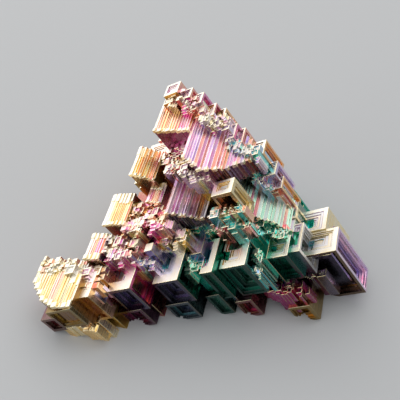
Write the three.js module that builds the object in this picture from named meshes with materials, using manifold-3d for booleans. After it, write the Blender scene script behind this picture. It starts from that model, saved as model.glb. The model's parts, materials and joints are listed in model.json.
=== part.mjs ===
// Bismuth hopper crystal: one cluster of skeletal cubes that grew together, so it is one solid.
// Every face lies along the axes of one crystal lattice: u runs to the right, v to the back and w up out
// of the top faces. The cluster is laid out in lattice axes, then tilted onto the cut that it rests on.
import * as THREE from "three";
import Module from "manifold-3d";
import { mergeVertices } from "three/addons/utils/BufferGeometryUtils.js";

const wasm = await Module();
wasm.setup();

// Driving dimensions, in millimetres and degrees.
const LATTICE_TILT = 33.7; // how far the u axis lifts off the table
const LATTICE_TURN = -13; // how far the lattice is turned about the vertical
const RIM = 0.7; // flat rim round a hopper face
const LEDGE = 0.6; // width of each terrace inside a hopper
const DROP = 0.6; // depth of each terrace inside a hopper
const TERRACES = 3; // at most, inside one hopper
const SKIN = 0.05; // how far a cutter stands proud of the face it cuts
const LAP = 0.3; // how far each ridge of a stair reaches under the one before it
const RAGGED = 0.5; // how unevenly the ridges of a stair end
const EVENNESS = 0.6; // the narrowest ridge of a stair against the average one
const CUBE_DEPTH = 4; // how far the small cubes of a patch reach down
const UNEVEN = 1; // how much the tops of a patch's cubes vary in height
const WELD = 1e-4; // corners nearer than this are one corner
const REACH = 200; // larger than the cluster, for the block that trims it
const CENTRE = [1.3, 3.6]; // where the middle of the cluster's outline falls on the table

// Stairs of long ridges that run along v and step down towards u.
// crest is the (u, w) of the highest ridge's left edge, run and fall are the whole stair's width and
// height, front and back are the v of the ridges' ends from the crest to the foot, and deep is how far
// each ridge reaches down.
const STAIRS = [
  {
    name: "summit", crest: [2.5, 24.7], run: 6.8, fall: 2.6, ridges: 8,
    front: [11.7, 11.7], back: [19.5, 19.5], deep: 6,
  },
  {
    name: "rose", crest: [9.3, 22], run: 8.7, fall: 8.7, ridges: 11,
    front: [5, 3, 5, 9], back: [20, 17.6, 13.8], deep: 4,
  },
  {
    name: "amber", crest: [-2.5, 22.2], run: 3.8, fall: 3.1, ridges: 6,
    front: [4.4, 4.4], back: [11.5, 11.5], deep: 6,
  },
  {
    name: "apricot", crest: [-7.8, 19.6], run: 4.6, fall: 1.2, ridges: 6,
    front: [-4.2, -4.2], back: [3, 3], deep: 5,
  },
  {
    name: "blush", crest: [-10, 19], run: 3, fall: 1, ridges: 4,
    front: [-11, -11], back: [-5.4, -5.4], deep: 5,
  },
  {
    name: "gold", crest: [-19.6, 20.2], run: 10, fall: 2.2, ridges: 10,
    front: [-15.2, -19.2, -20.6, -20.5], back: [-11, -10.4, -12, -14], deep: 7,
  },
  {
    name: "lilac", crest: [3.7, 16.5], run: 5.3, fall: 5, ridges: 7,
    front: [-2, -0.7], back: [6.7, 5], deep: 4,
  },
  {
    name: "mint", crest: [12.5, 12.5], run: 8.8, fall: 11.4, ridges: 12,
    front: [0.6, 1.2], back: [12.5, 8.6], deep: 7,
  },
  {
    name: "rose foot", crest: [-0.6, 17.8], run: 2.6, fall: 1.4, ridges: 4,
    front: [0.9, 0.9], back: [5.6, 5.6], deep: 4,
  },
  {
    name: "lilac foot", crest: [0.2, 13.4], run: 3.6, fall: 2.6, ridges: 6,
    front: [-7, -6.4], back: [-2.6, -2.6], deep: 4,
  },
];

// Hopper blocks. at is the top face's right front corner, size is along u, v and w, and hollow lists the
// faces that grew hollow: t top, f front, r right, l left, b back, d underside.
const BLOCKS = [
  // the row along the front edge, left to right
  { name: "brown step", at: [-7.4, -18.2, 17], size: [2.4, 5.5, 7], hollow: "f" },
  { name: "violet cube", at: [-1.5, -15.4, 14], size: [5, 6, 6.5], hollow: "tfr" },
  { name: "navy cube", at: [5.5, -12.5, 10.5], size: [5.5, 8, 6.5], hollow: "tfr" },
  { name: "slim cube", at: [10.5, -10, 8], size: [2.6, 7.5, 8], hollow: "tf" },
  { name: "green cube", at: [16, -8.5, 6.5], size: [5.3, 7.7, 8.5], hollow: "tfr" },
  { name: "shell cube", at: [21.5, -4.7, 2.5], size: [5.1, 4.5, 7], hollow: "tf" },
  { name: "low wedge", at: [23.1, -3.4, 1.5], size: [2.2, 6.5, 7], hollow: "t" },
  { name: "silver cube", at: [28.2, -1.8, -2], size: [7.6, 5.4, 13.2], hollow: "tfr" },
  { name: "silver back", at: [25.8, 3.4, -1.6], size: [5, 5.2, 9.4], hollow: "tb" },
  // the chain that climbs the right edge, top to bottom
  { name: "crown", at: [7, 19, 26.4], size: [3.2, 3.2, 6], hollow: "tb" },
  { name: "crown bud", at: [5.6, 17.6, 25.6], size: [2, 1.9, 4], hollow: "" },
  { name: "chain 1", at: [9.5, 17.8, 25.2], size: [2.8, 2.7, 6], hollow: "tb" },
  { name: "chain 2", at: [11.3, 17, 23.8], size: [2.4, 2.9, 6], hollow: "tb" },
  { name: "chain 3", at: [13.1, 15, 21.6], size: [2.4, 3.4, 6], hollow: "tb" },
  { name: "chain 4", at: [14.3, 14.6, 20], size: [1.8, 3.6, 6], hollow: "" },
  { name: "chain 5", at: [16, 11.8, 17.8], size: [2.5, 3.8, 6], hollow: "tb" },
  { name: "chain 6", at: [17, 11.5, 16.4], size: [1.6, 3.9, 6], hollow: "" },
  { name: "chain 7", at: [19.6, 10.9, 13], size: [2.9, 3.7, 7], hollow: "tb" },
  { name: "chain 8", at: [20.6, 8.6, 9.6], size: [2.6, 3.4, 7], hollow: "tb" },
  { name: "chain 9", at: [21, 7, 7.4], size: [2.3, 3, 7], hollow: "t" },
  { name: "chain 10", at: [20.5, 6.1, 3.7], size: [2.3, 3.3, 7], hollow: "tr" },
  { name: "chain 11", at: [21.5, 4.3, 1.9], size: [2.1, 2.6, 6], hollow: "" },
  // blocks in the valley
  { name: "cream block", at: [17, 0, 15.8], size: [4.2, 3.4, 7], hollow: "tr" },
  { name: "olive block", at: [11.5, 3.6, 15], size: [3, 2.4, 6], hollow: "t" },
  { name: "yellow bud", at: [1.6, -8.4, 14.8], size: [1.7, 1.7, 4], hollow: "" },
  { name: "amber bud", at: [4.4, -4.1, 13.6], size: [1.8, 1.9, 5], hollow: "" },
  { name: "honey bud", at: [6.2, -4.9, 12.6], size: [1.4, 1.7, 5], hollow: "" },
  { name: "teal bud", at: [11.9, -0.9, 10], size: [2.8, 2.3, 5], hollow: "t" },
  { name: "mint bud", at: [16.6, -1.6, 8.6], size: [2.8, 2.6, 5], hollow: "t" },
  // blocks low down in front
  { name: "toe heel", at: [-15, -21, 16.2], size: [3.5, 5, 3.8], hollow: "f" },
  { name: "toe face", at: [-9.7, -20.95, 17.9], size: [6, 2, 5], hollow: "f" },
  { name: "toe foot", at: [-12, -20.2, 11.6], size: [4, 5, 4.6], hollow: "f" },
  { name: "dark foot 1", at: [-3.1, -15.8, 8.2], size: [5.4, 6, 5], hollow: "f" },
  { name: "dark foot 2", at: [4, -13, 4.6], size: [5.2, 6, 5], hollow: "f" },
  { name: "dark foot 3", at: [8.3, -10.4, 2], size: [3, 5, 6], hollow: "f" },
  { name: "rust foot", at: [12.4, -9.4, -2.2], size: [3.6, 6, 5], hollow: "f" },
  { name: "olive foot", at: [20.8, -7.9, -8.4], size: [4.4, 6, 4.6], hollow: "f" },
  { name: "magenta foot", at: [19.4, -5.6, -4.5], size: [5, 6, 8], hollow: "fr" },
  // the left flank and the back, top to bottom
  { name: "flank 1", at: [-9, -12.4, 13], size: [5, 6, 9], hollow: "lb" },
  { name: "flank 2", at: [-6, -6.5, 13], size: [5.4, 6, 10], hollow: "lb" },
  { name: "flank 3", at: [-1.4, 1.6, 14.5], size: [6, 6.6, 11], hollow: "lb" },
  { name: "flank 4", at: [2, 8.5, 19], size: [5.4, 7, 9], hollow: "lb" },
  { name: "flank 5", at: [-3, 7.6, 8.8], size: [6, 6.6, 8], hollow: "lb" },
  { name: "back 1", at: [4.6, 15.5, 19.5], size: [6, 5.6, 10], hollow: "lb" },
  { name: "back 2", at: [10.6, 14.5, 17.5], size: [5.4, 6, 10], hollow: "b" },
  { name: "back 3", at: [1.6, 13.6, 11], size: [6.4, 6.2, 10], hollow: "lb" },
  { name: "back 4", at: [8.6, 15.6, 8.4], size: [6, 6, 9], hollow: "lb" },
  { name: "back 5", at: [15.2, 12.2, 11.5], size: [5.2, 5, 9], hollow: "rb" },
  { name: "back 6", at: [14.8, 13, 2.5], size: [6.4, 5.8, 9], hollow: "rb" },
  { name: "back 7", at: [19, 7, 4], size: [5.4, 4.8, 9], hollow: "rb" },
  { name: "back 8", at: [21.6, 5, -4], size: [6.2, 5.6, 9], hollow: "rb" },
  { name: "back 9", at: [25.2, 0.8, -8], size: [5, 5, 9], hollow: "rb" },
];

// Plain blocks inside the cluster that join the rest, laid out like BLOCKS.
const CORES = [
  { name: "toe core", at: [-8, -17.4, 15], size: [8.6, 7, 11] },
  { name: "blush core", at: [-3, -13.4, 12.6], size: [6.4, 9, 13] },
  { name: "apricot core", at: [-0.4, -8, 14.2], size: [6.2, 10.6, 18] },
  { name: "amber core", at: [3.6, -1, 15.4], size: [5.8, 12, 20] },
  { name: "summit core", at: [9.6, 8.2, 18], size: [8, 10.2, 26] },
  { name: "rose core", at: [14, 7.4, 15], size: [6, 10, 26] },
  { name: "chain core", at: [18.4, 10.2, 9.6], size: [6, 4, 24] },
  { name: "lilac core", at: [8.4, -6.6, 9.6], size: [9, 14, 18] },
  { name: "navy core", at: [9.6, -9, 5.6], size: [10, 8, 14] },
  { name: "green core", at: [18, -5.4, 3.4], size: [10, 14, 18] },
  { name: "mint core", at: [21, 1.6, -0.6], size: [7, 8, 16] },
  { name: "silver core", at: [26, -0.4, -4.4], size: [8, 6.6, 12] },
];

// Patches of small cubes that fill the valley between the larger ones. low and high are opposite corners
// in u and v, top is the height of the cubes' tops at the low and at the high u, and edge is their size.
const RUBBLE = [
  { name: "ember", low: [-3.6, -6], high: [4.2, 0.6], top: [18.2, 15.8], cubes: 13, edge: [1.2, 2.2] },
  { name: "pink", low: [-7, -11], high: [-0.8, -5.6], top: [17.8, 15.6], cubes: 10, edge: [1.2, 2] },
  { name: "teal", low: [6.4, -2.6], high: [17, 1.2], top: [10.8, 6.4], cubes: 18, edge: [1.2, 2.2] },
  { name: "pale", low: [3.6, 5.8], high: [9.8, 8.4], top: [19.6, 17.4], cubes: 9, edge: [1.2, 2] },
  { name: "blossom", low: [1, 8.6], high: [8, 11.6], top: [19, 19.6], cubes: 8, edge: [1.2, 2.2] },
  { name: "magenta", low: [14, -7.6], high: [22, -4.6], top: [-2.4, -6.4], cubes: 8, edge: [1.2, 2.2] },
  { name: "toe", low: [-15, -21], high: [-9.6, -18.6], top: [13, 11], cubes: 5, edge: [1.2, 2.2] },
  { name: "dusk", low: [-3.4, -10.4], high: [1, -7], top: [14, 12.4], cubes: 7, edge: [1.2, 2] },
  { name: "honey", low: [1.6, -6.6], high: [6.4, -2.6], top: [13.8, 12], cubes: 5, edge: [1.2, 2] },
];

// The same scatter each time: a fraction from 0 to 1 for each whole number.
function scatter(n) {
  const x = Math.sin(n * 12.9898 + 4.1414) * 43758.5453;
  return x - Math.floor(x);
}

// The value at share s, from 0 to 1, of a list of evenly spaced values.
function along(values, s) {
  const x = s * (values.length - 1);
  const i = Math.min(values.length - 2, Math.floor(x));
  return values[i] + (values[i + 1] - values[i]) * (x - i);
}

function solid(geometry) {
  geometry.deleteAttribute("normal");
  geometry.deleteAttribute("uv");
  const merged = mergeVertices(geometry, WELD);
  return new wasm.Manifold(
    new wasm.Mesh({
      numProp: 3,
      vertProperties: new Float32Array(merged.attributes.position.array),
      triVerts: new Uint32Array(merged.index.array),
    }),
  );
}

function box(low, high) {
  const size = high.map((x, i) => x - low[i]);
  const geometry = new THREE.BoxGeometry(...size);
  geometry.translate(...low.map((x, i) => x + size[i] / 2));
  return solid(geometry);
}

const FACES = { r: [0, 1], l: [0, -1], b: [1, 1], f: [1, -1], t: [2, 1], d: [2, -1] };

// Cuts a stepped hollow into one face of the box from low to high.
function hollowed(block, low, high, face) {
  const [axis, side] = FACES[face];
  const across = [0, 1, 2].filter((i) => i !== axis);
  const room = Math.min(...across.map((i) => high[i] - low[i]));
  const terraces = Math.max(1, Math.min(TERRACES, Math.floor((room / 2 - RIM) / LEDGE)));
  for (let n = 0; n < terraces; n++) {
    const from = [...low];
    const to = [...high];
    for (const i of across) {
      from[i] += RIM + n * LEDGE;
      to[i] -= RIM + n * LEDGE;
    }
    if (side > 0) {
      from[axis] = high[axis] - (n + 1) * DROP;
      to[axis] = high[axis] + SKIN;
    } else {
      from[axis] = low[axis] - SKIN;
      to[axis] = low[axis] + (n + 1) * DROP;
    }
    if (across.some((i) => to[i] - from[i] < LEDGE)) break;
    block = block.subtract(box(from, to));
  }
  return block;
}

function blockSolid({ at: [u, v, w], size: [du, dv, dw], hollow = "" }) {
  const low = [u - du, v, w - dw];
  const high = [u, v + dv, w];
  return [...hollow].reduce((block, face) => hollowed(block, low, high, face), box(low, high));
}

let seed = 0;
function shares(count) {
  const parts = Array.from({ length: count }, () => EVENNESS + 2 * (1 - EVENNESS) * scatter(seed++));
  const sum = parts.reduce((a, b) => a + b);
  return parts.map((p) => p / sum);
}

function stairSolids({ crest: [u, w], run, fall, ridges, front, back, deep }) {
  const treads = shares(ridges);
  const drops = shares(ridges);
  const made = [];
  for (let i = 0; i < ridges; i++) {
    const s = i / (ridges - 1);
    const nudge = RAGGED * (scatter(seed++) - 0.5);
    const low = [u, along(front, s) + nudge, w - deep];
    u += treads[i] * run;
    made.push(box(low, [u + (i < ridges - 1 ? LAP : 0), along(back, s) - nudge, w]));
    w -= drops[i] * fall;
  }
  return made;
}

// Small cubes scattered over a patch, every other one with a hollow top.
function rubbleSolids({ low, high, top, cubes, edge }) {
  const made = [];
  for (let i = 0; i < cubes; i++) {
    const across = scatter(seed++);
    const u = low[0] + (high[0] - low[0]) * across;
    const v = low[1] + (high[1] - low[1]) * scatter(seed++);
    const w = top[0] + (top[1] - top[0]) * across + UNEVEN * (scatter(seed++) - 0.5);
    const width = edge[0] + (edge[1] - edge[0]) * scatter(seed++);
    const depth = edge[0] + (edge[1] - edge[0]) * scatter(seed++);
    const at = [u + width / 2, v - depth / 2, w];
    made.push(blockSolid({ at, size: [width, depth, CUBE_DEPTH], hollow: i % 2 ? "t" : "" }));
  }
  return made;
}

const solids = [
  ...CORES.map(blockSolid),
  ...STAIRS.flatMap(stairSolids),
  ...BLOCKS.map(blockSolid),
  ...RUBBLE.flatMap(rubbleSolids),
];
const cluster = solids.reduce((a, b) => a.add(b));

// Tilts the cluster out of lattice axes and cuts off what lies below the table.
const toRow = new THREE.Matrix4()
  .makeRotationZ(THREE.MathUtils.degToRad(LATTICE_TURN))
  .multiply(new THREE.Matrix4().makeRotationY(THREE.MathUtils.degToRad(-LATTICE_TILT)));
const aboveTable = box([-REACH, -REACH, 0], [REACH, REACH, REACH]);
const seated = cluster
  .transform(toRow.elements)
  .intersect(aboveTable)
  .translate([-CENTRE[0], -CENTRE[1], 0]);
const outside = seated.decompose().sort((a, b) => b.volume() - a.volume())[0];

function meshGeometry(manifold) {
  const mesh = manifold.getMesh();
  const geometry = new THREE.BufferGeometry();
  geometry.setAttribute("position", new THREE.BufferAttribute(new Float32Array(mesh.vertProperties), 3));
  geometry.setIndex(new THREE.BufferAttribute(new Uint32Array(mesh.triVerts), 1));
  return geometry;
}

const material = new THREE.MeshStandardMaterial({ color: 0xc9a7b5, metalness: 1, roughness: 0.25 });
const crystal = new THREE.Mesh(meshGeometry(outside), material);
crystal.name = "hopper_crystal";
const group = new THREE.Group();
group.add(crystal);
export default group;
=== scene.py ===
"""A bismuth hopper crystal: skeletal cubes and ridged stairs grown together, under a rainbow oxide film.

Lengths are millimetres along the crystal's own axes, until the finished cluster is tilted onto its flat cut
and made metres. u runs right, v runs back and w rises out of the top faces.
"""

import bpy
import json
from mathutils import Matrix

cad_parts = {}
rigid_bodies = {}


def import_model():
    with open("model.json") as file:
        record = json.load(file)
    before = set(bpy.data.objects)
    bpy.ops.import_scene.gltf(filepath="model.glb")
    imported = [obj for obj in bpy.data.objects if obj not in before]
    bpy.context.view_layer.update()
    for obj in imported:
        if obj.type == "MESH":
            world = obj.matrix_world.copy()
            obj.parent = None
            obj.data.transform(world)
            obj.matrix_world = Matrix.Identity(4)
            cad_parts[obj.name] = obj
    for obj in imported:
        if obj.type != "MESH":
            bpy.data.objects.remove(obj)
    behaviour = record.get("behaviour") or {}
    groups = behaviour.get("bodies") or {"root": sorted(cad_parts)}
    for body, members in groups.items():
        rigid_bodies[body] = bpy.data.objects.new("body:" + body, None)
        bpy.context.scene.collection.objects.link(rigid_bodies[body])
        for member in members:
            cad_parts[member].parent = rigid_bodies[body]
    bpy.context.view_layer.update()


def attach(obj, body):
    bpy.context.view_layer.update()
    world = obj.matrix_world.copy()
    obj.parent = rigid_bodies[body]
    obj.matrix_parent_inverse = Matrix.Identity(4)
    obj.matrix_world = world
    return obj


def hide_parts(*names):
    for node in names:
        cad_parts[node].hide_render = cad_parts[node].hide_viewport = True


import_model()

import json
import math

import bmesh
import bpy
from mathutils import Matrix, Vector

LATTICE_TILT = -33.7  # how far the u axis lifts off the table, in degrees
LATTICE_TURN = -13  # how far the lattice is turned about the vertical, in degrees
CENTRE = (1.3, 3.6)  # what comes to stand on the middle of the table
TO_ROW = (
    Matrix.Scale(0.001, 4)
    @ Matrix.Translation((-CENTRE[0], -CENTRE[1], 0))
    @ Matrix.Rotation(math.radians(LATTICE_TURN), 4, "Z")
    @ Matrix.Rotation(math.radians(LATTICE_TILT), 4, "Y")
)

ARRIS = 0.05  # the bevelled flat along the outer edges of a cube, given a straw film as a painted highlight
SMALL_ARRIS = 0.03  # the same on small stairs and raised bands
FINE_ARRIS = 0.025  # the same on the fine steps of a ridge
CRUMB_ARRIS = 0.04  # the same on the crumbs
ARRIS_SHARE = 0.2  # an arris takes up no more than this share of a cube's shortest side
SKIN = 0.05  # how far a cutter stands proud of the face it cuts
FACING = 0.9  # past this, a normal looks along an axis
PARTLY_FACING = 0.3  # past this, it does so in part

# Stepped hollows in the upright faces.
RIM = 0.55  # the flat rim round a hollow
LEDGE = 0.34  # how wide each of its steps is
DROP = 0.36  # and how deep
FACE_STEPS = 6  # at most
NARROWEST_HOLLOW = 0.35
DARKEST_PAINTED_SHADE = 0.9  # the painted shade a hollow's steps head for at its bottom
PAINTED_GLINT = 0.3  # a painted glint: how much lighter every second step of a hollow is, and less so in a dark face
GLINT_REACH = 1.4

# Terraces and pockets in the tops.
LINE = 0.12  # the fine line along the edge of a terrace
GROOVE = 0.03  # how far a terrace's floor lies below that line
# the painted shade on the fine line at a terrace's edge
LINE_SHADE = 0.5
FLOOR_SHADE = 0.2  # the painted shade on the floors, more on each lower one, from none at the first
NARROWEST_TERRACE = 0.3
WIDEST_LEDGE = 0.45
LEDGE_SHARE = 0.09  # a terrace's ledge as a share of its cube's shorter side
POCKET_STEPS = ((0, 0.45), (0.22, 0.75), (0.4, 1))  # how far in a step lies, and its share of the depth
POCKET_SHADE = 0.3  # the painted shade on a pocket's lowest floor, less on the steps above
POCKET_THICKER = 0.05  # how much thicker the film is on a pocket's floors

# Stairs of long ridges.
FINE = 2  # the fine steps in each ridge
LAP = 0.3  # how far each fine step reaches over the next one
TUCK = 0.05  # how far each fine step reaches back under the one before it
RAGGED = 0.25  # how unevenly the ridges end
FRAY = 0.12  # how unevenly their fine steps end
RISER_SHADE = 0.4  # the painted shade on a riser, at most; each gets a random share of it
LAST_RISER_SHADE = 0.65  # the painted shade on a stair's last riser
BAND_DEPTH = 0.5  # how far a pale raised band reaches down into its ridge
BAND_OVERHANG = 0.15  # how far it stands past the ridge's end
BAND_LAP = 0.02  # how far it reaches over the ridge before it
BAND_RISE = 0.06  # how far it stands up, at least
BAND_SWELL = 0.14  # and how much more it may

# Small crystals.
SMALL_DEPTH = 3  # how far small stairs and crumbs reach down
SMALL_CUBE_DEPTH = 6  # how far small cubes do
SMALL_CUBE_DROP = 0.06
SMALL_CUBE_STEPS = 2
SMALL_LAP = 0.1  # how far each step of a small stair reaches over the next one
SMALL_FRAY = 0.2  # how unevenly those steps end on a stair that goes down to the right
FRONT_FRAY = 0.3  # and on one that goes down to the front
TINTED_STEPS = 0.6  # the share of small steps that aren't cream
SMALL_STAIRS = ((0.9, 3, "f"), (1, 4, "r"))  # the height, the steps and which way they go down
CRUMBS_A_CUBE = 7
CRUMB_SPREAD = 1.2  # how unevenly the crumbs' tops lie
CRUMB_SUNK = 0.6  # the share of that which lies below the patch
# the painted shade on the fronts of the chain's little stairs
CHAIN_STEP_SHADE = 0.15

# The least value, and how much may be added to it.
UNEVEN = (0.6, 0.8)
UNEVEN_RIM = (0.8, 0.5)
UNEVEN_LEDGE = (0.4, 1.2)
UNEVEN_TERRACE = (0.5, 1)
UNEVEN_BAND = (0.7, 0.6)
TOP_RIM = (0.11, 0.09)  # as a share of the cube's shorter side
CRUMB_SIDE = (0.4, 0.8)

# How thick the oxide film is, as a place on the film's run of colours.
SILVER = 0.0
CREAM = 0.08
STRAW = 0.16
GOLD = 0.24
AMBER = 0.32
BROWN = AMBER  # the sides' amber looks brown, as they face the dark
PEACH = 0.36
CORAL = 0.4
MAGENTA = 0.46
PINK = 0.52
LILAC = 0.57
VIOLET = 0.64
BLUE = 0.72
TURQUOISE = 0.8
TEAL = 0.9
MINT = 1.05  # past the end, so that it doesn't drift back to teal

# How much the film's thickness drifts from one step to another.
TINT = 0.06
HOLLOW_TINT = 0.08
FINE_TINT = 0.04
SMALL_TINT = 0.1

# crest is the u and w of a stair's highest ridge, at its left edge. run and fall are the whole stair's
# width and height, front and back are where its ridges end in v, from the crest to the foot, and deep is
# how far each reaches down, all as in the solid part.
# dark is the painted shade on the ridges' front ends.
STAIRS = {
    "summit": dict(
        crest=[2.5, 24.7], run=6.8, fall=2.6, ridges=8, front=[11.7, 11.7], back=[19.5, 19.5], deep=6,
        film=[CREAM, PEACH, AMBER, PEACH, PINK, PINK], riser=[PEACH, PINK, CORAL], face=MAGENTA, brow=0.5,
        heel=0, dark=0.7),
    "rose": dict(
        crest=[9.3, 22], run=8.7, fall=8.7, ridges=11, front=[5, 3, 5, 9], back=[20, 17.6, 13.8], deep=4,
        film=[PINK, LILAC, PINK, LILAC], riser=[PINK, LILAC, PINK, LILAC, PINK, PEACH], face=MAGENTA,
        brow=0.6, heel=0, dark=0.88),
    "amber": dict(
        crest=[-2.5, 22.2], run=3.8, fall=3.1, ridges=6, front=[4.4, 4.4], back=[11.5, 11.5], deep=6,
        film=[CREAM, GOLD, PEACH, STRAW, PEACH, STRAW], riser=[GOLD, PEACH, STRAW], face=BROWN, brow=0.4,
        heel=2, dark=0.75),
    "apricot": dict(
        crest=[-7.8, 19.6], run=4.6, fall=1.2, ridges=6, front=[-4.2, -4.2], back=[3, 3], deep=5,
        film=[CREAM, GOLD, PEACH, STRAW, PEACH], riser=[AMBER, PEACH, GOLD], face=BROWN, brow=0.7, heel=1.9,
        dark=0.75),
    "blush": dict(
        crest=[-10, 19], run=3, fall=1, ridges=4, front=[-11, -11], back=[-5.4, -5.4], deep=5,
        film=[CREAM, PEACH, PINK, PEACH], riser=[PINK, CORAL], face=BROWN, brow=1, heel=1.2, dark=0.75),
    "gold": dict(
        crest=[-19.6, 20.2], run=10, fall=2.2, ridges=10, front=[-15.2, -19.2, -20.6, -20.5],
        back=[-11, -10.4, -12, -14], deep=7,
        film=[STRAW, CREAM, GOLD, STRAW, PEACH, STRAW, GOLD, CREAM], riser=[GOLD, AMBER, PINK, CREAM],
        face=BROWN, brow=0.9, heel=1.8, dark=0.8),
    "lilac": dict(
        crest=[3.7, 16.5], run=5.3, fall=5, ridges=7, front=[-2, -0.7], back=[6.7, 5], deep=4,
        film=[PINK, LILAC, PINK, SILVER], riser=[LILAC, PINK, LILAC, PINK, SILVER], face=VIOLET, brow=0.4,
        heel=0.5, dark=0.9),
    "mint": dict(
        crest=[12.5, 12.5], run=8.8, fall=11.4, ridges=12, front=[0.6, 1.2], back=[12.5, 8.6], deep=7,
        film=[TURQUOISE, MINT, MINT, MINT, MINT], riser=[MINT, MINT, PINK, MINT, SILVER, CORAL], face=TEAL,
        brow=0.3, heel=0, dark=0.8),
    "rose foot": dict(
        crest=[-0.6, 17.8], run=2.6, fall=1.4, ridges=4, front=[0.9, 0.9], back=[5.6, 5.6], deep=4,
        film=[PINK, CREAM, LILAC], riser=[PINK, MAGENTA], face=MAGENTA, brow=0.3, heel=0.3),
    "lilac foot": dict(
        crest=[0.2, 13.4], run=3.6, fall=2.6, ridges=6, front=[-7, -6.4], back=[-2.6, -2.6], deep=4,
        film=[LILAC, CREAM, LILAC], riser=[LILAC, VIOLET], face=VIOLET, brow=0.3, heel=0.3, dark=0.9),
}
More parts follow.
